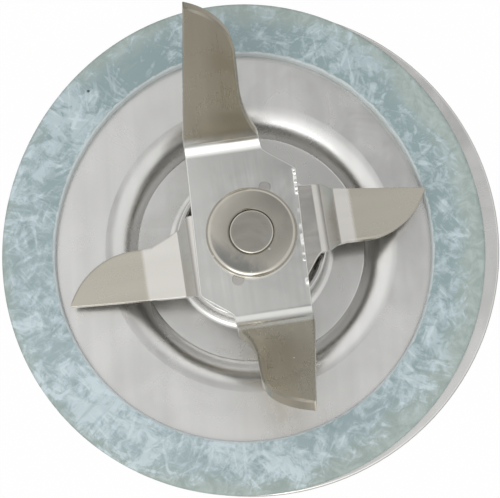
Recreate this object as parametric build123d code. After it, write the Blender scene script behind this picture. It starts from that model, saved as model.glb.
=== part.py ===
from build123d import *
import math
import os

# Square drive coupling at the foot, in millimetres like every size here
socket_across = 8.2
socket_depth = 8.5
socket_lead_in = 0.6
coupling_dia = 16.0
coupling_hub = 6.5
coupling_chamfer = 0.8
pin_dia = 2.5

# Spindle
spindle_dia = 8.0
tang_dia = 6.4
tang_flats = 5.0
rivet_dia = 5.3
rivet_recess = 0.1
rivet_edge = 0.25

# Fits, on the radius, and the end float along the spindle
running_gap = 0.03
seal_gap = 0.05
press_gap = 0.02
loose_gap = 0.15
cap_gap = 0.3
end_float = 0.1

# Thrust washers
fibre_thick = 1.0
steel_thick = 0.6
lower_washer_dia = 14.6
upper_fibre_dia = 13.2
upper_steel_dia = 13.6
washer_edge = 0.15

# Bearing housing with two bushes, the oil wick between them and a lip seal above
bush_wall = 2.0
bush_length = 4.5
bush_chamfer = 0.3
wick_length = 3.1
housing_wall = 3.5
housing_flange_width = 2.9
housing_flange_thick = 1.6
housing_chamfer = 0.8
housing_groove_width = 2.4
housing_groove_depth = 0.7
spigot_height = 1.6
spigot_wall = 1.4
seal_width = 3.0
seal_height = 3.0
seal_wall = 1.2
seal_web = 1.0
lip_thick = 0.85
lip_length = 1.5
spring_wire = 0.8
spring_bite = 0.1
cap_thick = 0.5
cap_margin = 1.3

# Sealing ring, which lies a little off centre on the flange
ring_bore = 46.9
ring_width = 6.5
ring_thick = 1.4
ring_outer_round = 0.5
ring_inner_round = 0.3
ring_shift_x = -0.86
ring_shift_y = -0.4

# Pressed base plate: levels are measured from the top of the rim flange
plate_thick = 0.8
flange_margin = 0.45
plateau_level = -1.6
plateau_margin = 1.6
plateau_crease = 0.3
shoulder_run = 1.9
shoulder_radius = 5.5
neck_height = 4.0
neck_fillet = 1.0
rim_round = 0.25

# Cutter blades: one sheet each, two arms, the bends set askew by the same angle
blade_thick = 1.2
blade_lean = 8.6
bevel = 0.25
spacer_dia = 12.0
spacer_thick = 4.7
spacer_chamfer = 0.5
collar_dia = 10.6
collar_thick = 1.2
collar_round = 0.5
collar_hole_edge = 0.15
pip_dia = 1.4
pip_x = 1.55
pip_y = 5.5
pip_recess = 0.15

# Upper blade: both arms bend up from the hub, whose hole is punched off the middle of the strip
rise_offset_x = -0.38
rise_offset_y = 0.2
rise_angle = 57.5
rise_radius = 2.0
rise_line = 10.65
rise_left = -6.05
rise_right = 2.85
rise_waist = 1.3
rise_waist_start = 7.3
rise_waist_end = 12.6
rise_tip_side = -3.8
rise_tip_reach = 20.3
rise_shoulder_x = 5.6
rise_shoulder_y = 7.7

# Lower blade: both arms step down, one nearer the middle than the other, then slope down over the ring
step_offset_x = -0.3
step_offset_y = -0.65
step_angle = 60.0
step_radius = 0.5
step_left = -5.6
near_step = 6.0
near_step_side = 4.0
near_slope_side = 2.7
far_step = 8.3
far_step_side = 2.6
far_slope_side = 1.6
step_shoulder_x = 6.2
step_shoulder_y = 5.9
slope_angle = 10.0
slope_radius = 0.5
slope_left = -5.25
slope_waist = 1.4
slope_waist_length = 2.5
slope_arc_length = 8.2
slope_tip_side = -4.05
slope_tip_reach = 22.27
tip_gap = 0.3

# Diameters that follow from the spindle outwards
bush_dia = spindle_dia + 2 * bush_wall
seal_dia = spindle_dia + 2 * seal_width
housing_dia = bush_dia + 2 * housing_wall
housing_flange_dia = housing_dia + 2 * housing_flange_width
neck_bore = seal_dia + 2 * spigot_wall
plateau_dia = housing_flange_dia + 2 * plateau_margin
shoulder_dia = plateau_dia + 2 * shoulder_run

# Diameters that follow from the sealing ring
ring_dia = ring_bore + 2 * ring_width
flange_dia = ring_dia + 2 * flange_margin

# Heights above the foot, worked up the stack
coupling_top = socket_depth + coupling_hub
lower_fibre_base = coupling_top + steel_thick
housing_base = lower_fibre_base + fibre_thick + end_float
wick_base = housing_base + bush_length
upper_bush_base = wick_base + wick_length
seal_base = upper_bush_base + bush_length
spigot_top = seal_base + seal_height
plate_under = spigot_top - spigot_height
plateau_top = plate_under + plate_thick
flange_top = plateau_top - plateau_level
ring_top = flange_top + ring_thick
cap_top = spigot_top + cap_thick
upper_fibre_base = cap_top + end_float
upper_steel_base = upper_fibre_base + fibre_thick
spacer_base = upper_steel_base + steel_thick
lower_blade_base = spacer_base + spacer_thick
lower_blade_top = lower_blade_base + blade_thick
upper_blade_top = lower_blade_top + blade_thick


def save(shape, node):
    """Write one piece of the assembly to its own file."""
    export_step(shape, f"parts/{node}.step")


def turned(*outline):
    """Solid of revolution about the spindle axis from an outline of radii and heights."""
    return revolve(Plane.XZ * make_face(Polyline(*outline, close=True)), Axis.Z)


def disc(dia, base, height):
    """Plain round slug on the spindle axis."""
    return Pos(0, 0, base) * extrude(Circle(dia / 2), height)


def ring(inner_dia, outer_dia, base, height, edge):
    """Flat ring or sleeve with a plain bore, its outer edges broken by a small chamfer."""
    inner = inner_dia / 2
    outer = outer_dia / 2
    top = base + height
    return turned(
        (inner, base),
        (outer - edge, base),
        (outer, base + edge),
        (outer, top - edge),
        (outer - edge, top),
        (inner, top),
    )


def thrust_washer(dia, base, thick):
    """Washer that lies loose round the spindle."""
    return ring(spindle_dia + 2 * loose_gap, dia, base, thick, washer_edge)


def tang(base, height, gap=0.0):
    """The spindle's driving tang, round with two flats, or with a gap the hole for it."""
    section = Circle(tang_dia / 2 + gap) & Rectangle(2 * tang_dia, tang_flats + 2 * gap)
    return Pos(0, 0, base) * extrude(section, height)


def cross_pin(dia, length):
    """Pin through the coupling's hub and the spindle, or the drilling for it."""
    return Pos(0, 0, socket_depth + coupling_hub / 2) * Rot(Y=90) * Cylinder(dia / 2, length)


# Coupling: a short steel cylinder with a square socket, bored for the spindle and cross drilled
def drive_coupling():
    body = chamfer(disc(coupling_dia, 0, coupling_top).edges().filter_by(GeomType.CIRCLE), coupling_chamfer)
    socket = extrude(Rectangle(socket_across, socket_across), socket_depth)
    mouth_across = socket_across + 2 * socket_lead_in
    mouth = extrude(Rectangle(mouth_across, mouth_across), socket_lead_in, taper=45)
    bore = disc(spindle_dia + 2 * press_gap, socket_depth, coupling_hub)
    return body - socket - mouth - bore - pin_drilling


def coupling_pin():
    """Pin cut so that its flat ends stay just inside the coupling's round outside."""
    return cross_pin(pin_dia, math.sqrt(coupling_dia ** 2 - pin_dia ** 2))


# Spindle: ground bar with a flatted tang and a turned-down end that is peened over the collar
def spindle():
    shank = disc(spindle_dia, socket_depth, spacer_base - socket_depth)
    end = disc(rivet_dia, upper_blade_top, collar_thick - rivet_recess)
    end = fillet(end.edges().group_by(Axis.Z)[-1], rivet_edge)
    return shank + tang(spacer_base, upper_blade_top - spacer_base) + end - pin_drilling


# Housing: turned sleeve with a flange under the plate and a spigot pressed into the neck
def bearing_housing():
    bore = bush_dia / 2
    body = housing_dia / 2
    groove = body - housing_groove_depth
    groove_top = (housing_base + plate_under + housing_groove_width) / 2
    groove_base = groove_top - housing_groove_width
    flange = housing_flange_dia / 2
    spigot = neck_bore / 2 - press_gap
    return turned(
        (bore, housing_base),
        (body - housing_chamfer, housing_base),
        (body, housing_base + housing_chamfer),
        (body, groove_base),
        (groove, groove_base + housing_groove_depth),
        (groove, groove_top - housing_groove_depth),
        (body, groove_top),
        (body, plate_under - housing_flange_thick),
        (flange, plate_under - housing_flange_thick),
        (flange, plate_under),
        (spigot, plate_under),
        (spigot, spigot_top),
        (seal_dia / 2, spigot_top),
        (seal_dia / 2, seal_base),
        (bore, seal_base),
    )


def bush(base):
    """Sintered bronze bush pressed into the housing and running on the spindle."""
    return ring(spindle_dia + 2 * running_gap, bush_dia - 2 * press_gap, base, bush_length, bush_chamfer)


def oil_wick():
    """Felt sleeve that fills the housing between the two bushes."""
    return ring(spindle_dia + 2 * loose_gap, bush_dia - 2 * press_gap, wick_base, wick_length, washer_edge)


# Lip seal: a wall and a web with a lip that hangs from the web and carries the spring
def shaft_seal():
    outer = seal_dia / 2 - press_gap
    lip = spindle_dia / 2 + seal_gap
    web_base = spigot_top - seal_web
    return turned(
        (outer, seal_base),
        (outer, spigot_top),
        (lip + lip_thick / 2, spigot_top),
        (lip, web_base - lip_length / 2),
        (lip + lip_thick / 2, web_base - lip_length),
        (lip + lip_thick, web_base - lip_length),
        (lip + lip_thick, web_base),
        (outer - seal_wall, web_base),
        (outer - seal_wall, seal_base),
    ) - garter_spring(press_gap)


def garter_spring(gap=0.0):
    """Closed coil spring round the lip, as the ring of its outer form, or the groove for it."""
    middle = spindle_dia / 2 + seal_gap + lip_thick + spring_wire / 2 - spring_bite
    height = spigot_top - seal_web - lip_length / 2
    return Pos(0, 0, height) * Torus(middle, spring_wire / 2 + gap)


def seal_cap():
    """Thin steel disc that keeps the seal in its seat."""
    return ring(spindle_dia + 2 * cap_gap, neck_bore - 2 * cap_margin, spigot_top, cap_thick, washer_edge)


# Base plate: one pressing of even thickness, from the rim flange down to the plateau and up to the neck
def base_plate():
    top_line = FilletPolyline(
        (neck_bore / 2 + plate_thick, plateau_top + neck_height),
        (neck_bore / 2 + plate_thick, plateau_top),
        (plateau_dia / 2, plateau_top),
        (shoulder_dia / 2, flange_top),
        (flange_dia / 2, flange_top),
        radius=[neck_fillet, plateau_crease, shoulder_radius],
    )
    sheet = make_face(offset(top_line, plate_thick, side=Side.RIGHT))
    plate = revolve(Plane.XZ * sheet, Axis.Z)
    rim = plate.edges().filter_by(GeomType.CIRCLE).group_by(SortBy.RADIUS)[-1]
    plate = fillet(rim, rim_round)
    lip = plate.edges().filter_by(GeomType.CIRCLE).group_by(Axis.Z)[-1]
    return fillet(lip, rim_round)


# Sealing ring: moulded rubber with a well rounded outer edge
def sealing_ring():
    middle = (ring_bore + ring_width) / 2
    section = Pos(middle, flange_top + ring_thick / 2) * Rectangle(ring_width, ring_thick)
    outer = section.vertices().group_by(Axis.X)[-1]
    section = fillet(outer, ring_outer_round)
    inner = section.vertices().group_by(Axis.X)[0]
    section = fillet(inner, ring_inner_round)
    return Pos(ring_shift_x, ring_shift_y) * revolve(Plane.XZ * section, Axis.Z)


def bend(place, left, right, angle, inside_radius):
    """Bend of the blade sheet along local x, up for a positive angle, and the place after it."""
    pivot = inside_radius if angle > 0 else -(blade_thick + inside_radius)
    section = Pos((left + right) / 2, -blade_thick / 2) * Rectangle(right - left, blade_thick)
    turn_axis = Axis((0, 0, pivot), (math.copysign(1, angle), 0, 0))
    solid = revolve(Plane.XZ * section, turn_axis, abs(angle))
    after = place * Pos(0, 0, pivot) * Rot(X=angle) * Pos(0, 0, -pivot)
    return place * solid, after


def panel(place, outline):
    """Flat stretch of blade sheet, its top face at the given place."""
    return place * extrude(make_face(outline), blade_thick, dir=(0, 0, -1))


def cutting_panel(place, outline, tip_side):
    """Flat end of an arm; its edges on the far side of the tip get the ground bevel."""
    solid = extrude(make_face(outline), blade_thick, dir=(0, 0, -1))
    top = solid.edges().group_by(Axis.Z)[-1]
    ground = [edge for edge in top if (edge @ 0.5).X > tip_side and (edge @ 0.5).Y > 0]
    return place * chamfer(ground, bevel)


def hub_half(start, left, right, shoulder_x, shoulder_y):
    """Corners of a hub on one arm's side: the two ends of the bend and the shoulder beside it."""
    lean = Rot(Z=blade_lean)
    return [
        (lean * Pos(left, start)).position,
        (lean * Pos(right, start)).position,
        Vector(shoulder_x, shoulder_y),
    ]


def hub_plate(half, other_half, base):
    """Six-sided middle of a blade between its two bends, the other half turned half a turn."""
    outline = Polyline(*half, *[-point for point in other_half], close=True)
    return Pos(0, 0, base) * extrude(make_face(outline), blade_thick)


def both_arms(arm, other_arm):
    """Two arms that lean as their bends do, the other one half a turn round."""
    return [Rot(Z=blade_lean) * arm, Rot(Z=blade_lean + 180) * other_arm]


def pips(dia, height):
    """The two round locating pips on the lower blade, or their holes in the upper one."""
    return [
        Pos(side * pip_x, side * pip_y, lower_blade_top) * extrude(Circle(dia / 2), height)
        for side in (1, -1)
    ]


# Upper blade: hub plate and two arms bent up, with sickle-shaped outlines
def upper_blade():
    start = rise_line - rise_radius * math.tan(math.radians(rise_angle / 2))
    fold, place = bend(Pos(0, start, upper_blade_top), rise_left, rise_right, rise_angle, rise_radius)
    tip = (rise_tip_side, rise_tip_reach)
    outline = [
        Polyline((rise_right, 0), (rise_left, 0), tip),
        TangentArc((rise_waist, rise_waist_end), tip, tangent=(0, 1)),
        Line((rise_waist, rise_waist_end), (rise_waist, rise_waist_start)),
        TangentArc((rise_waist, rise_waist_start), (rise_right, 0), tangent=(0, -1)),
    ]
    arm = fold + cutting_panel(place, outline, rise_tip_side)
    half = hub_half(start, rise_left, rise_right, rise_shoulder_x, rise_shoulder_y)
    hub = hub_plate(half, half, lower_blade_top)
    blade = Pos(rise_offset_x, rise_offset_y) * (hub + both_arms(arm, arm))
    holes = pips(pip_dia + 2 * press_gap, blade_thick)
    return blade - tang(lower_blade_top, blade_thick, press_gap) - holes


def step_lengths(place):
    """Lengths of the wall and the slope that bring the tip to its reach and its gap over the ring."""
    wall = math.radians(step_angle)
    slope = math.radians(slope_angle)
    tip_top = ring_top + tip_gap + blade_thick * math.cos(slope)
    across = slope_tip_reach - place.position.Y
    down = place.position.Z - tip_top
    wall_length = (down * math.cos(slope) - across * math.sin(slope)) / math.sin(wall - slope)
    slope_length = (across - wall_length * math.cos(wall)) / math.cos(slope)
    return wall_length, slope_length


def lower_arm(start, step_side, slope_side):
    """Arm of the lower blade: a bend, a short wall down, a bend back and the sloping end."""
    unfold_angle = step_angle - slope_angle
    fold, place = bend(Pos(0, start, lower_blade_top), step_left, step_side, -step_angle, step_radius)
    straight_after = bend(place, slope_left, slope_side, unfold_angle, slope_radius)[1]
    wall_length, slope_length = step_lengths(straight_after)
    wall = panel(place, Polyline(
        (step_side, 0),
        (step_left, 0),
        (slope_left, wall_length),
        (slope_side, wall_length),
        close=True,
    ))
    place = place * Pos(0, wall_length, 0)
    unfold, place = bend(place, slope_left, slope_side, unfold_angle, slope_radius)
    tip = (slope_tip_side, slope_length)
    waist_end = slope_length - slope_arc_length
    waist_start = waist_end - slope_waist_length
    outline = [
        Polyline((slope_side, 0), (slope_left, 0), tip),
        TangentArc((slope_waist, waist_end), tip, tangent=(0, 1)),
        Polyline((slope_waist, waist_end), (slope_waist, waist_start), (slope_side, 0)),
    ]
    return fold + wall + unfold + cutting_panel(place, outline, slope_tip_side)


# Lower blade: hub plate and two arms that step down, then slope to the tip
def lower_blade():
    near_half = hub_half(near_step, step_left, near_step_side, step_shoulder_x, step_shoulder_y)
    far_half = hub_half(far_step, step_left, far_step_side, step_shoulder_x, step_shoulder_y)
    hub = hub_plate(near_half, far_half, lower_blade_base)
    near_arm = lower_arm(near_step, near_step_side, near_slope_side)
    far_arm = lower_arm(far_step, far_step_side, far_slope_side)
    blade = Pos(step_offset_x, step_offset_y) * Rot(Z=90) * (hub + both_arms(near_arm, far_arm))
    blade += pips(pip_dia, blade_thick - pip_recess)
    return blade - tang(lower_blade_base, blade_thick, press_gap)


def blade_spacer():
    """Turned steel distance piece between the spindle's shoulder and the lower blade."""
    body = disc(spacer_dia, spacer_base, spacer_thick)
    body = chamfer(body.edges().filter_by(GeomType.CIRCLE), spacer_chamfer)
    return body - tang(spacer_base, spacer_thick, press_gap)


def hub_collar():
    """Round collar that the spindle's end is peened over."""
    body = disc(collar_dia, upper_blade_top, collar_thick)
    body = fillet(body.edges().group_by(Axis.Z)[-1], collar_round)
    body -= disc(rivet_dia + 2 * press_gap, upper_blade_top, collar_thick)
    hole_edge = body.edges().group_by(Axis.Z)[-1].sort_by(SortBy.RADIUS)[0]
    return chamfer(hole_edge, collar_hole_edge)


os.makedirs("parts", exist_ok=True)
pin_drilling = cross_pin(pin_dia + 2 * press_gap, coupling_dia)

save(drive_coupling(), "drive_coupling")
save(coupling_pin(), "coupling_pin")
save(spindle(), "spindle")
save(thrust_washer(lower_washer_dia, coupling_top, steel_thick), "lower_steel_washer")
save(thrust_washer(lower_washer_dia, lower_fibre_base, fibre_thick), "lower_fibre_washer")
save(bearing_housing(), "bearing_housing")
save(bush(housing_base), "lower_bush")
save(oil_wick(), "oil_wick")
save(bush(upper_bush_base), "upper_bush")
save(shaft_seal(), "shaft_seal")
save(garter_spring(), "seal_spring")
save(seal_cap(), "seal_cap")
save(base_plate(), "base_plate")
save(sealing_ring(), "sealing_ring")
save(thrust_washer(upper_fibre_dia, upper_fibre_base, fibre_thick), "upper_fibre_washer")
save(thrust_washer(upper_steel_dia, upper_steel_base, steel_thick), "upper_steel_washer")
save(blade_spacer(), "blade_spacer")
save(lower_blade(), "lower_blade")
save(upper_blade(), "upper_blade")
save(hub_collar(), "hub_collar")
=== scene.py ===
import math
import bpy
import numpy as np
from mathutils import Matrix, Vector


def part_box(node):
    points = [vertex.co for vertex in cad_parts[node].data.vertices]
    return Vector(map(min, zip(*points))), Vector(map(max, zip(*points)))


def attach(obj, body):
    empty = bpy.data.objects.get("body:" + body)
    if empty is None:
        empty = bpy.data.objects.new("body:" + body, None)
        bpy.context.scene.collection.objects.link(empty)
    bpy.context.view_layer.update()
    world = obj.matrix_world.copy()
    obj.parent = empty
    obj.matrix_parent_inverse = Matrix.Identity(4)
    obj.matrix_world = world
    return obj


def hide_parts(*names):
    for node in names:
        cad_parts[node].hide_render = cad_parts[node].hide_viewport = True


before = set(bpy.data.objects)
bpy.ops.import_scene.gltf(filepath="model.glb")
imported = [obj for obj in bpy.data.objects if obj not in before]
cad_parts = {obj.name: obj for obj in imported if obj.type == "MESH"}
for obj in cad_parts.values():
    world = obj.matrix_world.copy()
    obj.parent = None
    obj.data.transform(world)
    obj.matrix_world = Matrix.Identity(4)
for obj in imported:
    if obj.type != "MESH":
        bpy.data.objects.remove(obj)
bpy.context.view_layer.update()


# Drive coupling and its cross pin, at the foot of the assembly.
# A short bar of free-cutting steel, turned and broached with a square socket, so its outside keeps
# the fine rings of the lathe tool. The pin is driven through it and the spindle.
def add(tree, kind, inputs=None, **settings):
    """Put one shader node in a tree, with its settings, and set or link its inputs."""
    node = tree.nodes.new("ShaderNode" + kind)
    for name, value in settings.items():
        setattr(node, name, value)
    for name, value in (inputs or {}).items():
        if isinstance(value, bpy.types.NodeSocket):
            tree.links.new(value, node.inputs[name])
        else:
            node.inputs[name].default_value = value
    return node


def math_node(tree, operation, first, second=0.0, third=0.0):
    """Result of one sum."""
    return add(tree, "Math", {0: first, 1: second, 2: third}, operation=operation).outputs[0]


def own_place(tree):
    """Place on a piece in its own coordinates, which are the assembly's."""
    return add(tree, "TexCoord").outputs["Object"]


def axis_distance(tree, place):
    """Distance from the spindle axis: the length of x and y alone."""
    flat = add(tree, "VectorMath", {0: place, 1: (1, 1, 0)}, operation="MULTIPLY").outputs[0]
    return add(tree, "VectorMath", {0: flat}, operation="LENGTH").outputs["Value"]


def new_group(name, inputs, outputs):
    """Shader node group with named value inputs, given with their defaults, and named value outputs."""
    tree = bpy.data.node_groups.new(name, "ShaderNodeTree")
    for label, default in inputs.items():
        socket = tree.interface.new_socket(label, in_out="INPUT", socket_type="NodeSocketFloat")
        socket.default_value = default
    for label in outputs:
        tree.interface.new_socket(label, in_out="OUTPUT", socket_type="NodeSocketFloat")
    return tree, tree.nodes.new("NodeGroupInput").outputs, tree.nodes.new("NodeGroupOutput").inputs


def tool_rings_group():
    """Rings about the spindle axis: noise read at the radius and the height, with no angle in it."""
    tree, given, out = new_group("tool rings", {"Per metre": 9000.0}, ["Rings"])
    place = own_place(tree)
    height = add(tree, "SeparateXYZ", {0: place}).outputs[2]
    both = add(tree, "CombineXYZ", {0: axis_distance(tree, place), 1: height})
    noise = add(
        tree, "TexNoise", {"Vector": both.outputs[0], "Scale": given["Per metre"], "Detail": 2.0},
        noise_dimensions="2D",
    )
    tree.links.new(noise.outputs["Fac"], out["Rings"])
    return tree


def handling_group():
    """Cloudy smears left by hands and oil: soft noise warped by a coarser one."""
    tree, given, out = new_group("handling", {"Per metre": 160.0}, ["Smear"])
    noise = add(tree, "TexNoise", {
        "Vector": own_place(tree), "Scale": given["Per metre"], "Detail": 4.0, "Roughness": 0.6,
        "Distortion": 0.8,
    })
    spread = add(tree, "MapRange", {"Value": noise.outputs["Fac"], "From Min": 0.32, "From Max": 0.68})
    tree.links.new(spread.outputs["Result"], out["Smear"])
    return tree


def use(tree, group, **values):
    """Place a shader node group in a material with its own values."""
    node = tree.nodes.new("ShaderNodeGroup")
    node.node_tree = group
    for name, value in values.items():
        node.inputs[name.replace("_", " ")].default_value = value
    return node.outputs


def new_material(name, **sockets):
    """Material with one Principled shader whose constant sockets are set by name."""
    material = bpy.data.materials.new(name)
    material.use_nodes = True
    shader = material.node_tree.nodes["Principled BSDF"]
    for label, value in sockets.items():
        shader.inputs[label.replace("_", " ")].default_value = value
    return material, material.node_tree, shader.inputs


def mix_colour(tree, factor, first, second):
    """Colour between two others."""
    node = add(tree, "Mix", {0: factor, 6: first, 7: second}, data_type="RGBA")
    return node.outputs[2]


def ranged(tree, value, low, high):
    """A value from 0 to 1 spread between a low and a high one."""
    return add(tree, "MapRange", {"Value": value, "To Min": low, "To Max": high}).outputs["Result"]


def raised(tree, height, distance, strength=1.0):
    """Normal of a surface that a height from 0 to 1 lifts by a distance in metres."""
    bump = add(tree, "Bump", {"Height": height, "Distance": distance, "Strength": strength})
    return bump.outputs["Normal"]


def dress(material, *names):
    """Give CAD nodes a material."""
    for name in names:
        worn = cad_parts[name].data.materials
        worn.clear()
        worn.append(material)


tool_rings = tool_rings_group()
handling = handling_group()


def turned_steel(name, light, dark, low, high, per_metre, depth):
    """Turned steel: tool rings in the bump, smears in the colour and the roughness."""
    material, tree, sockets = new_material(name, Metallic=1.0)
    rings = use(tree, tool_rings, Per_metre=per_metre)["Rings"]
    smear = use(tree, handling)["Smear"]
    tree.links.new(mix_colour(tree, smear, light, dark), sockets["Base Color"])
    both = math_node(tree, "MULTIPLY", rings, smear)
    tree.links.new(ranged(tree, both, low, high), sockets["Roughness"])
    tree.links.new(raised(tree, rings, depth), sockets["Normal"])
    return material


coupling_steel = turned_steel(
    "coupling steel", (0.56, 0.55, 0.52, 1), (0.42, 0.41, 0.38, 1), 0.24, 0.42, 7000.0, 0.00001
)
dress(coupling_steel, "drive_coupling", "coupling_pin")

# Spindle, one ground steel bar from the coupling to the blades.
# Its upper end is turned down, passed through blades and collar, and peened over.
spindle_steel = turned_steel(
    "spindle steel", (0.58, 0.56, 0.51, 1), (0.40, 0.38, 0.33, 1), 0.14, 0.30, 1500.0, 0.000002
)
dress(spindle_steel, "spindle")

# Thrust washers, two of hard red-brown fibre and two of steel strip.
# They take the end load where the turning pieces meet the fixed ones.
strip_steel = turned_steel(
    "strip steel", (0.58, 0.57, 0.55, 1), (0.44, 0.43, 0.41, 1), 0.18, 0.34, 3000.0, 0.000003
)
dress(strip_steel, "lower_steel_washer", "upper_steel_washer")


def washer_fibre():
    """Pressed fibre: fine pale threads in a red-brown ground."""
    material, tree, sockets = new_material("washer fibre", Roughness=0.7)
    threads = add(
        tree, "TexNoise", {"Vector": own_place(tree), "Scale": 2600.0, "Detail": 3.0, "Distortion": 2.0}
    ).outputs["Fac"]
    tone = mix_colour(tree, threads, (0.16, 0.06, 0.035, 1), (0.30, 0.15, 0.10, 1))
    tree.links.new(tone, sockets["Base Color"])
    tree.links.new(raised(tree, threads, 0.00003), sockets["Normal"])
    return material


dress(washer_fibre(), "lower_fibre_washer", "upper_fibre_washer")

# Bearing housing, a turned and nickel-plated steel sleeve.
# Its flange lies under the base plate and its spigot is pressed into the neck.
housing_steel = turned_steel(
    "housing steel", (0.60, 0.59, 0.56, 1), (0.48, 0.47, 0.44, 1), 0.18, 0.34, 6000.0, 0.000008
)
dress(housing_steel, "bearing_housing")


# Bushes and oil wick inside the housing.
# The bushes are sintered bronze, grainy and dark with oil; the wick is a felt sleeve between them.
def grainy(name, light, dark, per_metre, depth, **sockets_set):
    """Matter of small grains: cell noise in the colour and the bump."""
    material, tree, sockets = new_material(name, **sockets_set)
    cells = add(tree, "TexVoronoi", {"Vector": own_place(tree), "Scale": per_metre})
    grains = cells.outputs["Distance"]
    tree.links.new(mix_colour(tree, grains, light, dark), sockets["Base Color"])
    tree.links.new(raised(tree, grains, depth), sockets["Normal"])
    return material


bush_bronze = grainy(
    "sintered bronze", (0.50, 0.34, 0.18, 1), (0.24, 0.15, 0.07, 1), 6000.0, 0.00002,
    Metallic=1.0, Roughness=0.42,
)
wick_felt = grainy(
    "wick felt", (0.50, 0.45, 0.35, 1), (0.32, 0.28, 0.20, 1), 3000.0, 0.0001, Roughness=0.95
)
dress(bush_bronze, "lower_bush", "upper_bush")
dress(wick_felt, "oil_wick")

# Shaft seal, a moulded black rubber lip seal in the top of the housing.
# A garter spring presses its lip on the spindle and a steel disc keeps it in.
seal_rubber = grainy(
    "seal rubber", (0.035, 0.035, 0.036, 1), (0.02, 0.02, 0.02, 1), 1500.0, 0.00001, Roughness=0.55
)
dress(seal_rubber, "shaft_seal")
dress(strip_steel, "seal_cap", "seal_spring")


# Base plate, one pressing of stainless sheet from the rim flange to the neck.
# The drawing leaves a satin face with soft waves, and the sheet keeps its rolling lines.
# What has lain on it since has left a few dark pits.
MM = 0.001


def pits_group():
    """Sparse pits: the middles of cells, out to a small reach, kept where the cell's own draw is high."""
    tree, given, out = new_group("pits", {"Per metre": 260.0, "Reach": 0.05, "Rarity": 0.6}, ["Pits"])
    cells = add(tree, "TexVoronoi", {"Vector": own_place(tree), "Scale": given["Per metre"]})
    near = math_node(tree, "LESS_THAN", cells.outputs["Distance"], given["Reach"])
    draw = add(tree, "SeparateColor", {0: cells.outputs["Color"]}).outputs[0]
    kept = math_node(tree, "GREATER_THAN", draw, given["Rarity"])
    tree.links.new(math_node(tree, "MULTIPLY", near, kept), out["Pits"])
    return tree


pits = pits_group()


def strip_lines_group():
    """Rolling and brushing lines along a strip, and the distance along it from its middle.

    The lines are noise that is fine across the strip and long along it; the bands are a coarser one.
    """
    tree, given, out = new_group(
        "strip lines", {"Lean": 0.0, "Middle": 0.0, "Per metre": 3000.0}, ["Lines", "Bands", "Away"]
    )
    back = math_node(tree, "MULTIPLY", given["Lean"], -1.0)
    turned = add(
        tree, "VectorRotate", {"Vector": own_place(tree), "Angle": back}, rotation_type="Z_AXIS"
    ).outputs[0]
    fine = add(tree, "VectorMath", {0: turned, 1: (1.0, 0.03, 0.03)}, operation="MULTIPLY").outputs[0]
    lines = add(tree, "TexNoise", {"Vector": fine, "Scale": given["Per metre"], "Detail": 1.0})
    broad = add(tree, "VectorMath", {0: turned, 1: (1.0, 0.12, 0.12)}, operation="MULTIPLY").outputs[0]
    bands = add(tree, "TexNoise", {"Vector": broad, "Scale": 420.0, "Detail": 2.0})
    along = add(tree, "SeparateXYZ", {0: turned}).outputs[1]
    away = math_node(tree, "ABSOLUTE", math_node(tree, "SUBTRACT", along, given["Middle"]))
    tree.links.new(lines.outputs["Fac"], out["Lines"])
    tree.links.new(bands.outputs["Fac"], out["Bands"])
    tree.links.new(away, out["Away"])
    return tree


strip_lines = strip_lines_group()


def smooth_step(tree, value, low, high, start=0.0, end=1.0):
    """Smooth passage from a start to an end value as another value goes from low to high."""
    return add(
        tree, "MapRange",
        {"Value": value, "From Min": low, "From Max": high, "To Min": start, "To Max": end},
        interpolation_type="SMOOTHSTEP",
    ).outputs["Result"]


def plate_steel():
    """Pressed sheet: rolled bands and lines in the colour, smears in the roughness, waves and pits.

    The lowered middle is painted darker as shade, more in some places than others with the smears.
    """
    material, tree, sockets = new_material("plate steel", Metallic=1.0)
    rolled = use(tree, strip_lines, Lean=0.05, Per_metre=900.0)
    smear = use(tree, handling, Per_metre=120.0)["Smear"]
    marks = use(tree, pits, Per_metre=210.0, Reach=0.04, Rarity=0.8)["Pits"]
    satin = mix_colour(tree, rolled["Bands"], (0.85, 0.845, 0.83, 1), (0.70, 0.695, 0.68, 1))
    faint_lines = math_node(tree, "MULTIPLY", rolled["Lines"], 0.35)
    satin = mix_colour(tree, faint_lines, satin, (0.64, 0.635, 0.62, 1))
    place = own_place(tree)
    # Painted shade: the lowered middle gets a darker colour, unevenly with the smears.
    middle_shade_mask = smooth_step(tree, axis_distance(tree, place), 13.0 * MM, 15.5 * MM, 1.0, 0.0)
    dull = math_node(tree, "MULTIPLY", middle_shade_mask, ranged(tree, smear, 0.2, 0.8))
    satin = mix_colour(tree, dull, satin, (0.54, 0.535, 0.515, 1))
    tree.links.new(mix_colour(tree, marks, satin, (0.16, 0.15, 0.14, 1)), sockets["Base Color"])
    tree.links.new(ranged(tree, smear, 0.21, 0.30), sockets["Roughness"])
    waves = add(tree, "TexNoise", {"Vector": place, "Scale": 110.0, "Detail": 1.0}).outputs["Fac"]
    tree.links.new(raised(tree, waves, 0.00012), sockets["Normal"])
    return material


dress(plate_steel(), "base_plate")


# Sealing ring, moulded grey-green rubber that lies loose on the flange.
# It has crept out of round in store, and a chalky bloom has been rubbed into its inner face.
def lathe_mesh(name, points):
    """Mesh of a grid of points, rings by profile, joined to itself round both ways."""
    index = np.arange(points.shape[0] * points.shape[1]).reshape(points.shape[:2])
    ahead = np.roll(index, -1, axis=0)
    quads = np.stack([index, ahead, np.roll(ahead, -1, axis=1), np.roll(index, -1, axis=1)], axis=-1)
    mesh = bpy.data.meshes.new(name)
    mesh.from_pydata(points.reshape(-1, 3), [], quads.reshape(-1, 4).tolist())
    mesh.shade_smooth()
    return mesh


def new_piece(mesh, material, body, replaced=()):
    """Object at the origin that rides on a body and may stand for CAD nodes."""
    piece = bpy.data.objects.new(mesh.name, mesh)
    bpy.context.scene.collection.objects.link(piece)
    mesh.materials.append(material)
    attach(piece, body)
    if replaced:
        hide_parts(*replaced)
    return piece


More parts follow.
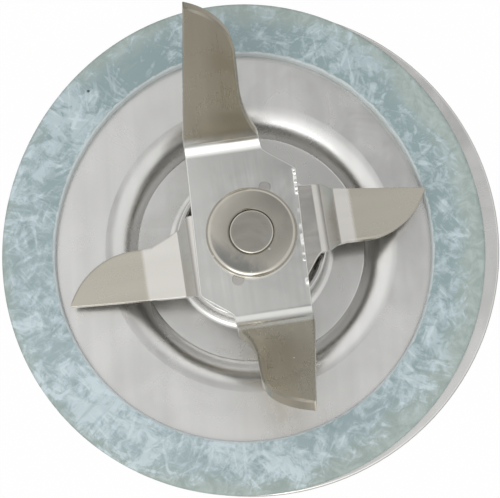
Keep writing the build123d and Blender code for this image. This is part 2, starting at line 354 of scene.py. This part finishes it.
ring_low, ring_high = (np.array(corner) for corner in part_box("sealing_ring"))
ring_middle = (ring_low + ring_high) / 2 + np.array([-0.08, 0.33, 0]) * MM
ring_outer = (ring_high[0] - ring_low[0]) / 2
ring_inner = ring_outer - 6.5 * MM


def rounded_section(inner, outer, low, high, inner_round, outer_round, steps=10, across=24):
    """Section of a flat ring as radius and height: straight sides between quarter circles."""
    turn = np.linspace(0, math.pi / 2, steps)

    def corner(radius_at, height_at, size, start):
        return np.stack([
            radius_at + size * np.cos(turn + start), height_at + size * np.sin(turn + start)
        ], axis=-1)

    foot_round = 0.1 * MM
    top_right = corner(outer - outer_round, high - outer_round, outer_round, 0)
    top_left = corner(inner + inner_round, high - inner_round, inner_round, math.pi / 2)
    low_left = corner(inner + foot_round, low + foot_round, foot_round, math.pi)
    low_right = corner(outer - outer_round, low + outer_round, outer_round, 1.5 * math.pi)
    fill = np.linspace(0, 1, across)[1:-1, None]
    top = top_right[-1] + (top_left[0] - top_right[-1]) * fill
    foot = low_left[-1] + (low_right[0] - low_left[-1]) * fill
    return np.concatenate([top_right, top, top_left, low_left, foot, low_right])


def sealing_ring():
    """Ring section carried round its middle, drawn out of round by two and three waves a turn.

    Each point keeps its share of the width, from the inner to the outer edge, as the value across.
    """
    section = rounded_section(ring_inner, ring_outer, ring_low[2], ring_high[2], 0.4 * MM, 0.5 * MM)
    angle = np.linspace(0, 2 * math.pi, 360, endpoint=False)[:, None]
    creep = 0.5 * MM * np.cos(2 * angle - 3.10) + 0.18 * MM * np.cos(3 * angle + 1.55)
    radius = section[None, :, 0] + creep
    points = np.stack([
        ring_middle[0] + radius * np.cos(angle),
        ring_middle[1] + radius * np.sin(angle),
        np.broadcast_to(section[None, :, 1], radius.shape),
    ], axis=-1)
    mesh = lathe_mesh("sealing_ring_rubber", points)
    across = np.broadcast_to((section[:, 0] - ring_inner) / (ring_outer - ring_inner), radius.shape)
    shares = mesh.attributes.new("across", "FLOAT", "POINT")
    shares.data.foreach_set("value", across.ravel().astype(np.float32))
    return mesh


def ring_place_group():
    """Place on the ring: share of the width from inner to outer edge, and heading as cosine and sine."""
    tree, _, out = new_group("ring place", {}, ["Across", "East", "North"])
    flat = add(
        tree, "VectorMath", {0: own_place(tree), 1: (1, 1, 0)}, operation="MULTIPLY"
    ).outputs[0]
    heading = add(tree, "VectorMath", {0: flat}, operation="NORMALIZE").outputs[0]
    split = add(tree, "SeparateXYZ", {0: heading})
    tree.links.new(add(tree, "Attribute", attribute_name="across").outputs["Fac"], out["Across"])
    tree.links.new(split.outputs[0], out["East"])
    tree.links.new(split.outputs[1], out["North"])
    return tree


ring_place = ring_place_group()


def strokes_group():
    """Patches of short straight strokes in one direction.

    The strokes are noise that is fine across the direction and long along it, kept where it is high.
    The patches are coarse noise read at a depth of its own for each direction.
    """
    tree, given, out = new_group("strokes", {"Lean": 0.0, "Per metre": 2300.0}, ["Strokes"])
    place = own_place(tree)
    turned = add(
        tree, "VectorRotate", {"Vector": place, "Angle": given["Lean"]}, rotation_type="Z_AXIS"
    ).outputs[0]
    drawn = add(tree, "VectorMath", {0: turned, 1: (1.0, 0.12, 0.0)}, operation="MULTIPLY").outputs[0]
    noise = add(tree, "TexNoise", {
        "Vector": drawn, "Scale": given["Per metre"], "Detail": 2.0, "Distortion": 0.25,
    }).outputs["Fac"]
    shift = add(tree, "CombineXYZ", {2: math_node(tree, "MULTIPLY", given["Lean"], 0.05)}).outputs[0]
    moved = add(tree, "VectorMath", {0: place, 1: shift}, operation="ADD").outputs[0]
    patch = add(
        tree, "TexNoise", {"Vector": moved, "Scale": 170.0, "Detail": 2.0, "Distortion": 0.6}
    ).outputs["Fac"]
    patch = smooth_step(tree, patch, 0.47, 0.60)
    kept = math_node(tree, "MULTIPLY", smooth_step(tree, noise, 0.50, 0.70), patch)
    tree.links.new(kept, out["Strokes"])
    return tree


strokes = strokes_group()


def gasket_rubber():
    """Rubber under chalk.

    Chalk lies from the inner edge to a soft ragged line that is further out on the left. It is mottled,
    rubbed in straight strokes that cross each other, and a pale line of it along the inner edge is
    lightened further as a painted highlight on the rounding.
    """
    material, tree, sockets = new_material("gasket rubber", Roughness=0.6)
    place = own_place(tree)
    spot = use(tree, ring_place)
    blotches = add(tree, "TexNoise", {
        "Vector": place, "Scale": 560.0, "Detail": 6.0, "Roughness": 0.72, "Distortion": 0.6,
    }).outputs["Fac"]
    clouds = add(tree, "TexNoise", {"Vector": place, "Scale": 100.0, "Detail": 3.0}).outputs["Fac"]

    def crossed(directions):
        most = 0.0
        for lean, fineness in directions:
            one_way = use(tree, strokes, Lean=lean, Per_metre=fineness)["Strokes"]
            most = math_node(tree, "MAXIMUM", one_way, most)
        return most

    rubbed = crossed([(0.35, 1300.0), (1.05, 1900.0), (1.75, 1500.0), (2.35, 2100.0), (2.95, 1700.0)])
    scraped = crossed([(0.7, 1700.0), (2.0, 1700.0)])

    uneven = math_node(tree, "SUBTRACT", blotches, 0.5)
    line = math_node(tree, "MULTIPLY_ADD", spot["East"], -0.2, 0.80)
    line = math_node(tree, "MULTIPLY_ADD", math_node(tree, "SUBTRACT", clouds, 0.5), 1.0, line)
    inside = math_node(tree, "SUBTRACT", line, spot["Across"])
    inside = math_node(tree, "MULTIPLY_ADD", uneven, 0.9, inside)
    inside = math_node(tree, "MULTIPLY_ADD", math_node(tree, "SUBTRACT", rubbed, scraped), 0.16, inside)
    chalked = smooth_step(tree, inside, -0.12, 0.22)
    mottled = smooth_step(tree, math_node(tree, "MULTIPLY_ADD", clouds, 0.6, blotches), 0.68, 0.92)
    thick = math_node(tree, "MULTIPLY_ADD", rubbed, 0.40, math_node(tree, "MULTIPLY", mottled, 0.65))
    thick = math_node(tree, "MULTIPLY_ADD", scraped, -0.30, thick)
    thick = math_node(tree, "MULTIPLY_ADD", spot["North"], -0.18, thick)
    thick = math_node(tree, "MULTIPLY_ADD", spot["East"], -0.12, thick)

    worn = smooth_step(tree, blotches, 0.36, 0.64)
    rubber = mix_colour(tree, worn, (0.310, 0.378, 0.358, 1), (0.410, 0.482, 0.458, 1))
    chalk = mix_colour(tree, thick, (0.265, 0.348, 0.362, 1), (0.560, 0.655, 0.690, 1))
    tone = mix_colour(tree, chalked, rubber, chalk)
    # Pale line of chalk along the inner edge, lightened as a painted highlight on the rounding.
    ragged = math_node(tree, "MULTIPLY_ADD", uneven, 0.12, spot["Across"])
    inner_edge_highlight = smooth_step(tree, ragged, 0.02, 0.05, 0.7, 0.0)
    tone = mix_colour(tree, inner_edge_highlight, tone, (0.72, 0.76, 0.75, 1))
    marks = use(tree, pits, Per_metre=150.0, Reach=0.05, Rarity=0.9)["Pits"]
    tree.links.new(mix_colour(tree, marks, tone, (0.08, 0.10, 0.10, 1)), sockets["Base Color"])
    tree.links.new(raised(tree, thick, 0.00003), sockets["Normal"])
    return material


new_piece(sealing_ring(), gasket_rubber(), "base", ["sealing_ring"])


# Blade spacer, a turned steel distance piece round the spindle.
# It is clamped between the spindle's shoulder and the lower blade, and holds the blades above the neck.
dress(spindle_steel, "blade_spacer")

# Lower blade, stamped from hard stainless strip, ground along one edge of each arm and bent.
# Its arms step down over the neck and then slope to the tip; two pips locate the blade above it.
blade_lean = math.radians(8.6)
blade_thick = 1.2 * MM
edge_break = 0.07 * MM
edge_round = 0.05 * MM
ground_bevel = 0.25 * MM


def bent_path(along, knots, angles):
    """Reach, rise and slope of a sheet along its top face.

    The slope changes evenly between the given lengths. Reach and rise are running sums of its cosine
    and sine.
    """
    fine = np.linspace(0, knots[-1], 6001)
    slope = np.interp(fine, knots, np.radians(angles))
    middle = (slope[1:] + slope[:-1]) / 2
    reach = np.concatenate([[0], np.cumsum(np.cos(middle) * np.diff(fine))])
    rise = np.concatenate([[0], np.cumsum(np.sin(middle) * np.diff(fine))])
    return np.interp(along, fine, reach), np.interp(along, fine, rise), np.interp(along, fine, slope)


def eased(along, side, window):
    """A side of the strip with its corners eased: the mean of the side over a short window."""
    fine = np.linspace(along.min() - window, along.max() + window, 12001)
    level = side(fine)
    area = np.concatenate([[0], np.cumsum((level[1:] + level[:-1]) / 2 * np.diff(fine))])
    ahead, behind = (np.interp(along + half, fine, area) for half in (window / 2, -window / 2))
    return (ahead - behind) / window


def tangent_arc(along, start, side, end, end_side):
    """Side of an arm on a circle that starts along the arm at one point and passes through the end."""
    across = side - end_side
    length = end - start
    radius = (across ** 2 + length ** 2) / (2 * across)
    gone = np.clip((along - start) / length, 0, 1) * length
    return side - radius + np.sqrt(radius ** 2 - gone ** 2)


def rounded_loop(corners, size, fill):
    """Closed sections from their corners.

    Each corner is a small curve between two points on its sides; long sides get evenly spread points.
    """
    count = corners.shape[1]
    turn = np.linspace(0, 1, 5)[None, :, None]
    before = np.roll(corners, 1, axis=1) - corners
    after = np.roll(corners, -1, axis=1) - corners
    pieces = []
    for k in range(count):
        middle = corners[:, k:k + 1]
        ways = []
        for way in (before[:, k:k + 1], after[:, k:k + 1]):
            length = np.linalg.norm(way, axis=-1, keepdims=True)
            ways.append(way / length * np.minimum(size, 0.35 * length))
        curve = middle + (1 - turn) ** 2 * ways[0] + turn ** 2 * ways[1]
        pieces += [middle + 1.3 * ways[0], curve, middle + 1.3 * ways[1]]
        if k in fill:
            share = np.linspace(0, 1, fill[k] + 2)[None, 1:-1, None]
            begin = pieces[-1]
            following = corners[:, (k + 1) % count][:, None]
            span = following - begin
            length = np.linalg.norm(span, axis=-1, keepdims=True)
            stop = following - span / length * np.minimum(1.3 * size, 0.45 * length)
            pieces.append(begin + (stop - begin) * share)
    return np.concatenate(pieces, axis=1)


def strip_mesh(name, sections):
    """Closed mesh of sections along a strip: quads between neighbours and a flat end at each tip."""
    rows, columns = sections.shape[:2]
    index = np.arange(rows * columns).reshape(rows, columns)
    ahead = np.roll(index, -1, axis=1)
    quads = np.stack([index[:-1], ahead[:-1], ahead[1:], index[1:]], axis=-1).reshape(-1, 4)
    mesh = bpy.data.meshes.new(name)
    ends = [index[0, ::-1].tolist(), index[-1].tolist()]
    mesh.from_pydata(sections.reshape(-1, 3), [], quads.tolist() + ends)
    mesh.shade_smooth()
    return mesh


def blade_mesh(name, along, right, left, ground_from, grind, path, top, lean, offset, lift):
    """Blade as one bent strip from tip to tip, one arm at positive lengths and the other at negative.

    The section is the sheet between its two sides. The edge beyond the bend on the right of each arm is
    ground to a bevel as steep as the given grind, and a burr lifts the hub's right side.
    """
    width = right - left

    def bevel(place, side, start):
        steep = np.sqrt(1 + np.gradient(side, along) ** 2)
        wanted = np.interp(place, [start, start + MM], [edge_break, ground_bevel])
        return np.minimum(wanted * np.minimum(steep, 2), 0.3 * width), wanted * grind

    right_cut, right_drop = bevel(along, right, ground_from[0])
    left_cut, left_drop = bevel(-along, left, ground_from[1])
    burr_root = right - right_cut - np.minimum(0.35 * MM, 0.2 * width)
    foot = np.full_like(along, blade_thick)
    corners = np.stack([
        np.stack([left + left_cut, 0 * along], axis=-1),
        np.stack([burr_root, 0 * along], axis=-1),
        np.stack([right - right_cut, -lift], axis=-1),
        np.stack([right, right_drop - lift], axis=-1),
        np.stack([right, foot], axis=-1),
        np.stack([left, foot], axis=-1),
        np.stack([left, left_drop], axis=-1),
    ], axis=1)
    loop = rounded_loop(corners, edge_round, {0: 10, 4: 10})
    reach, rise, slope = (part[:, None] for part in path)
    across, depth = loop[..., 0], loop[..., 1]
    ahead = np.sign(along)[:, None] * (reach + depth * np.sin(slope))
    height = top + rise - depth * np.cos(slope)
    points = np.stack([
        offset[0] + across * math.cos(lean) - ahead * math.sin(lean),
        offset[1] + across * math.sin(lean) + ahead * math.cos(lean),
        height,
    ], axis=-1)
    return strip_mesh(name, points)


def prism(name, outline, low, high):
    """Closed upright prism over an outline."""
    count = len(outline)
    points = np.concatenate([
        np.column_stack([outline, np.full(count, low)]), np.column_stack([outline, np.full(count, high)])
    ])
    lower = np.arange(count)
    ahead = np.roll(lower, -1)
    sides = np.stack([lower, ahead, ahead + count, lower + count], axis=-1).tolist()
    mesh = bpy.data.meshes.new(name)
    mesh.from_pydata(points, [], sides + [lower[::-1].tolist(), (lower + count).tolist()])
    return mesh


def circle(radius, centre=(0, 0), steps=64):
    """Points round a circle."""
    turn = np.linspace(0, 2 * math.pi, steps, endpoint=False)
    return np.stack([centre[0] + radius * np.cos(turn), centre[1] + radius * np.sin(turn)], axis=-1)


def tang_outline(radius, half_flats):
    """Round with two flats: a circle whose y is held between the flats."""
    return circle(radius) * [1, 0] + np.clip(circle(radius)[:, 1:], -half_flats, half_flats) * [0, 1]


def combined(mesh, operation, tools):
    """Mesh after each tool mesh is cut from it or joined to it, with sharp edges kept sharp."""
    body = bpy.data.objects.new("blank", mesh)
    bpy.context.scene.collection.objects.link(body)
    tool_objects = []
    for tool in tools:
        tool_object = bpy.data.objects.new("tool", tool)
        bpy.context.scene.collection.objects.link(tool_object)
        step = body.modifiers.new("step", "BOOLEAN")
        step.operation = operation
        step.solver = "EXACT"
        step.object = tool_object
        tool_objects.append(tool_object)
    graph = bpy.context.evaluated_depsgraph_get()
    result = bpy.data.meshes.new_from_object(body.evaluated_get(graph))
    result.name = mesh.name + "_form"
    for item in tool_objects + [body]:
        bpy.data.objects.remove(item)
    result.shade_smooth()
    result.set_sharp_from_angle(angle=math.radians(28))
    return result


def stations(*stretches):
    """Lengths from the middle of a blade to a tip: each stretch is its end and its number of steps."""
    lengths = [np.zeros(1)]
    for end, steps in stretches:
        lengths.append(np.linspace(lengths[-1][-1], end, steps + 1)[1:])
    return np.concatenate(lengths)


def both_ways(curved, straight):
    """Side of a whole blade: one arm's curved side, and behind the hub the other arm's straight one."""
    def side(along):
        return np.where(along < 0, -straight(np.abs(along)), curved(np.abs(along)))
    return side


lower_top = 39.9 * MM
lower_offset = (-0.3 * MM, -0.65 * MM)
step_bend = 1.7 * MM
foot_bend = 0.5 * MM
wall_angle = 50
slope_angle = 13
ground_angle = 8.5
ground_length = 9.6 * MM
lower_waist = 1.4 * MM
lower_sides = np.array([-6.43, -5.6, -5.6, -5.25, -5.25, -4.05]) * MM


def lower_arm(step, step_side, slope_side, wall, slope):
    """One lower arm: lengths to the ends of its bends, its two sides by length, and its stations.

    The straight side narrows from the hub to the tip. The cutting side goes out to the shoulder, in to
    the wall and the waist, and then in a long curve to the tip.
    """
    step_end = step + step_bend * math.radians(wall_angle)
    wall_end = step_end + wall
    slope_start = wall_end + foot_bend * math.radians(wall_angle - slope_angle)
    tip = slope_start + slope
    waist = tip - 8.2 * MM
    knots = [0, step, step_end, wall_end, slope_start, tip]

    def straight(along):
        return np.interp(along, knots, lower_sides)

    def curved(along):
        near = np.interp(
            along, [0, 4.91 * MM, step, step_end, wall_end, slope_start, waist - 2.5 * MM],
            [6.43 * MM, 7.01 * MM, step_side, step_side, slope_side, slope_side, lower_waist],
        )
        far = tangent_arc(along, waist, lower_waist, tip, lower_sides[-1])
        return np.where(along < waist, near, far)

    lengths = stations(
        (step, 60), (step_end, 20), (wall_end, 12), (slope_start, 16), (tip - 3 * MM, 80),
        (tip - 0.4 * MM, 70), (tip - 0.06 * MM, 24),
    )
    return knots, straight, curved, lengths


near_knots, near_straight, near_curved, near_lengths = lower_arm(
    step=5.87 * MM, step_side=4.0 * MM, slope_side=2.7 * MM, wall=1.55 * MM, slope=14.1 * MM
)
far_knots, far_straight, far_curved, far_lengths = lower_arm(
    step=8.12 * MM, step_side=2.6 * MM, slope_side=1.6 * MM, wall=2.14 * MM, slope=11.4 * MM
)
lower_along = np.concatenate([-far_lengths[:0:-1], near_lengths])


def eased_side(along, side, window, first_end, other_end):
    """A side with its corners eased between two lengths from the hub, and sharp out to the tips."""
    return np.where((along < first_end) & (along > -other_end), eased(along, side, window), side(along))


def lower_path(knots, lengths):
    """Down through the step, along the wall and up to the slope, which flattens at its ground end."""
    ground_start = knots[5] - ground_length
    places = knots[:5] + [ground_start - 0.15 * MM, ground_start + 0.15 * MM, knots[5]]
    angles = np.repeat([0, -wall_angle, -slope_angle, -ground_angle], 2)
    return bent_path(lengths, places, angles)


near_path = lower_path(near_knots, near_lengths)
far_path = lower_path(far_knots, far_lengths)
near_slope, far_slope = near_knots[4], far_knots[4]
lower_right = eased_side(
    lower_along, both_ways(near_curved, far_straight), 1.0 * MM, near_slope + 3 * MM, far_slope + 2 * MM
)
lower_left = -eased_side(
    -lower_along, both_ways(far_curved, near_straight), 1.0 * MM, far_slope + 3 * MM, near_slope + 2 * MM
)
lower_form = blade_mesh(
    "lower_blade_steel", lower_along, lower_right, lower_left, (near_slope, far_slope), 0.35,
    [np.concatenate([far[:0:-1], near]) for far, near in zip(far_path, near_path)],
    lower_top, math.pi / 2 + blade_lean, lower_offset, 0 * lower_along,
)

pip_radius = 0.7 * MM
pip_places = [(1.55 * MM, 5.5 * MM), (-1.55 * MM, -5.5 * MM)]
pip_top = 40.95 * MM
tang_hole = tang_outline(3.22 * MM, 2.52 * MM)
lower_form = combined(lower_form, "UNION", [
    prism("pip", circle(pip_radius, place, 40), lower_top - 0.4 * MM, pip_top) for place in pip_places
])
lower_form = combined(lower_form, "DIFFERENCE", [
    prism("tang hole", tang_hole, lower_top - 2 * blade_thick, lower_top + 2 * blade_thick)
])


def blade_steel(name, lean, middle, ground_from, light, dark, ground_reflection_light, ground_reflection_dark):
    """Polished strip: lines along it in bump and roughness, soft bands in the colour, small nicks.

    Smears dull it here and there. From the given distance on, the arms are ground, which leaves them
    rougher; their darker, warmer colour there is painted reflection of darker surroundings.
    """
    material, tree, sockets = new_material(name, Metallic=1.0)
    marks = use(tree, strip_lines, Lean=lean, Middle=middle)
    smear = use(tree, handling, Per_metre=150.0)["Smear"]
    nicks = use(tree, pits, Per_metre=420.0, Reach=0.055, Rarity=0.9)["Pits"]
    tone = mix_colour(tree, marks["Bands"], light, dark)
    # Arms beyond the given distance: rougher from the grinding, and darker and warmer as painted
    # reflection.
    passage = (ground_from - 0.2 * MM, ground_from + 0.4 * MM)
    ends = smooth_step(tree, marks["Away"], *passage)
    ground = mix_colour(tree, marks["Bands"], ground_reflection_light, ground_reflection_dark)
    tone = mix_colour(tree, ends, tone, ground)
    tone = mix_colour(tree, nicks, tone, (0.80, 0.79, 0.76, 1))
    tree.links.new(tone, sockets["Base Color"])
    rough = ranged(tree, math_node(tree, "MULTIPLY", smear, marks["Lines"]), 0.13, 0.32)
    tree.links.new(math_node(tree, "MULTIPLY_ADD", ends, 0.10, rough), sockets["Roughness"])
    tree.links.new(raised(tree, marks["Lines"], 0.000001), sockets["Normal"])
    return material


# The last two colours are the ground arms' tones, darkened and warmed as painted reflection.
new_piece(
    lower_form, blade_steel(
        "lower blade steel", math.pi / 2 + blade_lean, 0.39 * MM, 12.7 * MM,
        (0.70, 0.68, 0.645, 1), (0.61, 0.59, 0.55, 1), (0.51, 0.485, 0.42, 1), (0.43, 0.405, 0.345, 1),
    ), "rotor", ["lower_blade"],
)

# Upper blade, from the same strip, laid across the lower one with both arms bent up.
# Its hole was punched off the middle, and shearing left a torn burr along one side of the hub.
upper_top = 41.1 * MM
upper_offset = (-0.38 * MM, 0.2 * MM)
rise_angle = 57.5
rise_bend = 2.0 * MM
rise_start = 9.553 * MM
rise_end = rise_start + rise_bend * math.radians(rise_angle)
sweep_length = 7.3 * MM
sickle_start = rise_end + 12.6 * MM
upper_tip = rise_end + 20.3 * MM
upper_waist = 1.3 * MM
upper_sides = np.array([-6.42, -6.05, -6.05, -3.8]) * MM


def upper_straight(along):
    """Straight side of an upper arm, narrowing from the bend to the tip."""
    return np.interp(along, [0, rise_start, rise_end, upper_tip], upper_sides)


def upper_curved(along):
    """Cutting side of an upper arm: shoulder, sweep in to the waist, then the sickle curve to the tip.

    The sweep and the sickle are both parts of circles that meet the waist along the arm.
    """
    near = np.interp(
        along, [0, 6.78 * MM, rise_start, rise_end], np.array([6.42, 6.69, 3.1, 2.85]) * MM
    )
    radius = 17.97 * MM
    to_waist = np.clip(rise_end + sweep_length - along, 0, sweep_length)
    sweep = upper_waist + radius - np.sqrt(radius ** 2 - to_waist ** 2)
    sickle = tangent_arc(along, sickle_start, upper_waist, upper_tip, upper_sides[-1])
    return np.where(along < rise_end, near, np.where(along < sickle_start, sweep, sickle))


def sheared_burr(along):
    """Torn lip along the hub's right side: the sum of bell curves of drawn places, spans and heights."""
    torn = np.random.default_rng(5)
    places = np.concatenate([torn.uniform(-7.6, 6.6, 14), torn.normal(5.6, 0.7, 6)]) * MM
    spans = torn.uniform(0.08, 0.32, 20) * MM
    heights = torn.uniform(0.1, 0.5, 20) ** 2 * MM
    return (heights * np.exp(-(((along[:, None] - places) / spans) ** 2))).sum(axis=1)


upper_half = stations(
    (rise_start, 220), (rise_end, 30), (sickle_start, 70), (upper_tip - 3 * MM, 60),
    (upper_tip - 0.4 * MM, 70), (upper_tip - 0.06 * MM, 24),
)
upper_along = np.concatenate([-upper_half[:0:-1], upper_half])
eased_to = rise_end + 12 * MM
upper_right = eased_side(
    upper_along, both_ways(upper_curved, upper_straight), 0.7 * MM, eased_to, eased_to
)
upper_form = blade_mesh(
    "upper_blade_steel", upper_along, upper_right, -upper_right[::-1], (rise_end, rise_end), 1.0,
    bent_path(np.abs(upper_along), [0, rise_start, rise_end, upper_tip], [0, 0, rise_angle, rise_angle]),
    upper_top, blade_lean, upper_offset, sheared_burr(upper_along),
)
upper_form = combined(upper_form, "DIFFERENCE", [
    prism("hole", outline, upper_top - 2 * blade_thick, upper_top + 2 * blade_thick)
    for outline in [tang_hole] + [circle(pip_radius + 0.02 * MM, place, 40) for place in pip_places]
])
# The last two colours are the ground arms' tones, darkened and warmed as painted reflection.
new_piece(
    upper_form, blade_steel(
        "upper blade steel", blade_lean, 0.25 * MM, 11.4 * MM,
        (0.82, 0.82, 0.795, 1), (0.76, 0.76, 0.735, 1), (0.50, 0.465, 0.39, 1), (0.39, 0.36, 0.295, 1),
    ), "rotor", ["upper_blade"],
)


# Hub collar, a turned steel ring over the crossed blades.
# The end of the spindle is peened into it, which holds the whole stack together.
def collar_steel():
    """Turned steel, warm and smooth, with painted dark reflection on its lower left and pale dust on it.
    """
    material, tree, sockets = new_material("collar steel", Metallic=1.0)
    smear = use(tree, handling, Per_metre=260.0)["Smear"]
    dust = use(tree, pits, Per_metre=900.0, Reach=0.13, Rarity=0.86)["Pits"]
    place = own_place(tree)
    # Painted reflection: the top is darker towards the lower left, wavering with the smears, and stops
    # short of the rounded edge.
    side = add(
        tree, "VectorMath", {0: place, 1: (-0.45, -0.89, 0)}, operation="DOT_PRODUCT"
    ).outputs["Value"]
    side = math_node(tree, "MULTIPLY_ADD", math_node(tree, "SUBTRACT", smear, 0.5), 1.6 * MM, side)
    painted_dark_reflection = math_node(
        tree, "MULTIPLY", smooth_step(tree, side, 2.0 * MM, 4.4 * MM, 0.0, 0.8),
        smooth_step(tree, axis_distance(tree, place), 4.7 * MM, 5.0 * MM, 1.0, 0.0),
    )
    tone = mix_colour(tree, smear, (0.56, 0.535, 0.475, 1), (0.51, 0.485, 0.43, 1))
    tone = mix_colour(tree, painted_dark_reflection, tone, (0.22, 0.225, 0.22, 1))
    tree.links.new(mix_colour(tree, dust, tone, (0.85, 0.85, 0.83, 1)), sockets["Base Color"])
    tree.links.new(ranged(tree, smear, 0.14, 0.24), sockets["Roughness"])
    return material


def collar_mesh():
    """Profile turned about the spindle: bore, crowned top and round edge.

    The top falls away as the square of the way from the bore, and the edge is part of a circle.
    """
    low, high = (corner[2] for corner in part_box("hub_collar"))
    bore = 2.67 * MM
    bore_edge = 0.15 * MM
    crown_curve = 13.0
    edge_size = 0.62 * MM
    around = 180
    crown = np.linspace(bore + bore_edge, 4.83 * MM, 20)
    crown_fall = crown_curve * (crown - crown[0]) ** 2
    start = math.radians(3)
    turn = np.linspace(start, math.pi / 2, 16)[1:]
    edge = crown[-1] + edge_size * (np.sin(turn) - math.sin(start))
    edge_fall = crown_fall[-1] + edge_size * (math.cos(start) - np.cos(turn))
    radius = np.concatenate([[bore, bore], crown, edge, [edge[-1]]])
    height = np.concatenate([[low, high - bore_edge], high - crown_fall, high - edge_fall, [low]])
    angle = np.linspace(0, 2 * math.pi, around, endpoint=False)[:, None]
    points = np.stack([
        radius * np.cos(angle), radius * np.sin(angle), np.broadcast_to(height, (around, len(height)))
    ], axis=-1)
    mesh = lathe_mesh("hub_collar_steel", points)
    mesh.set_sharp_from_angle(angle=math.radians(35))
    return mesh


new_piece(collar_mesh(), collar_steel(), "rotor", ["hub_collar"])


# Floor, a plain pale sheet under the object.
# It takes the object's shadow, and the pool of light on it is the background of the picture.
def pale_floor():
    """Pale sheet with a white pool about the object, which only the onlooker sees."""
    material, tree, sockets = new_material("floor sheet", Roughness=0.9)
    sockets["Base Color"].default_value = (0.62, 0.61, 0.59, 1)
    path = add(tree, "LightPath").outputs
    seen = math_node(tree, "MAXIMUM", path["Is Camera Ray"], path["Is Transmission Ray"])
    pool = smooth_step(tree, axis_distance(tree, own_place(tree)), 0.07, 0.26, 0.985, 0.0)
    share = math_node(tree, "MULTIPLY", seen, pool)
    glow = add(tree, "Emission", {"Color": (1, 1, 1, 1), "Strength": 1.0}).outputs[0]
    blend = add(tree, "MixShader", {0: share, 1: tree.nodes["Principled BSDF"].outputs[0], 2: glow})
    tree.links.new(blend.outputs[0], tree.nodes["Material Output"].inputs["Surface"])
    return material


floor_half = 1.5
floor_mesh = bpy.data.meshes.new("floor")
floor_mesh.from_pydata(
    [(-floor_half, -floor_half, 0), (floor_half, -floor_half, 0), (floor_half, floor_half, 0),
     (-floor_half, floor_half, 0)], [], [(0, 1, 2, 3)],
)
floor_mesh.materials.append(pale_floor())
floor = bpy.data.objects.new("floor", floor_mesh)
bpy.context.scene.collection.objects.link(floor)


# Light, a pale room that is brighter in front and to the left, with one large soft lamp in front.
# The room is a little darker overhead, so the flat steel shows a calm grey.
def room():
    """Room light: low at the horizon and full higher up, times one factor for each patch.

    In order, the patches are the brighter front left side, a dark one behind, a window in front and a
    dim one above.
    """
    world = bpy.data.worlds.new("room")
    world.use_nodes = True
    tree = world.node_tree
    look = add(tree, "TexCoord").outputs["Generated"]

    def toward(direction):
        return add(tree, "VectorMath", {0: look, 1: direction}, operation="DOT_PRODUCT").outputs["Value"]

    level = smooth_step(tree, toward((0, 0, 1)), 0.10, 0.72, 0.45, 1.0)
    for direction, *passage in (
        ((-0.8, -0.6, 0), -1.0, 1.0, 0.84, 1.08),
        ((0.10, 0.275, 0.956), 0.979, 0.998, 1.0, 0.36),
        ((-0.06, -0.71, 0.70), 0.78, 0.97, 1.0, 1.55),
        ((-0.03, 0.08, 0.996), 0.984, 0.998, 1.0, 0.68),
    ):
        level = math_node(tree, "MULTIPLY", level, smooth_step(tree, toward(direction), *passage))
    tree.links.new(level, tree.nodes["Background"].inputs["Strength"])
    tree.nodes["Background"].inputs["Color"].default_value = (1, 1, 1, 1)
    bpy.context.scene.world = world


def soft_lamp(name, place, size, watts):
    """Square lamp that looks at the blades' hub."""
    data = bpy.data.lights.new(name, "AREA")
    data.shape = "SQUARE"
    data.size = size
    data.energy = watts
    lamp = bpy.data.objects.new(name, data)
    bpy.context.scene.collection.objects.link(lamp)
    lamp.location = place
    aim = np.array([0, 0, 0.035]) - np.array(place)
    lamp.rotation_euler = (
        math.acos(-aim[2] / np.linalg.norm(aim)), 0, math.atan2(aim[1], aim[0]) - math.pi / 2
    )


room()
soft_lamp("front_lamp", (-0.12, -0.45, 0.55), 0.40, 0.6)

# Camera, nearly overhead, at the height and distance that the circles of the photograph give.
# It looks at a point close to the spindle axis, at the level of the base plate.
aim_point = np.array([-0.179, -0.31, 32.2]) * MM
camera_distance = 200 * MM
camera_elevation = math.radians(80)
camera_data = bpy.data.cameras.new("camera")
camera_data.lens = 117.3
camera_data.sensor_width = 36.0
camera_data.clip_start = 0.01
camera = bpy.data.objects.new("camera", camera_data)
bpy.context.scene.collection.objects.link(camera)
camera.location = aim_point + camera_distance * np.array(
    [0, -math.cos(camera_elevation), math.sin(camera_elevation)]
)
camera.rotation_euler = (math.pi / 2 - camera_elevation, 0, 0)
bpy.context.scene.camera = camera
bpy.context.scene.view_settings.view_transform = "Standard"
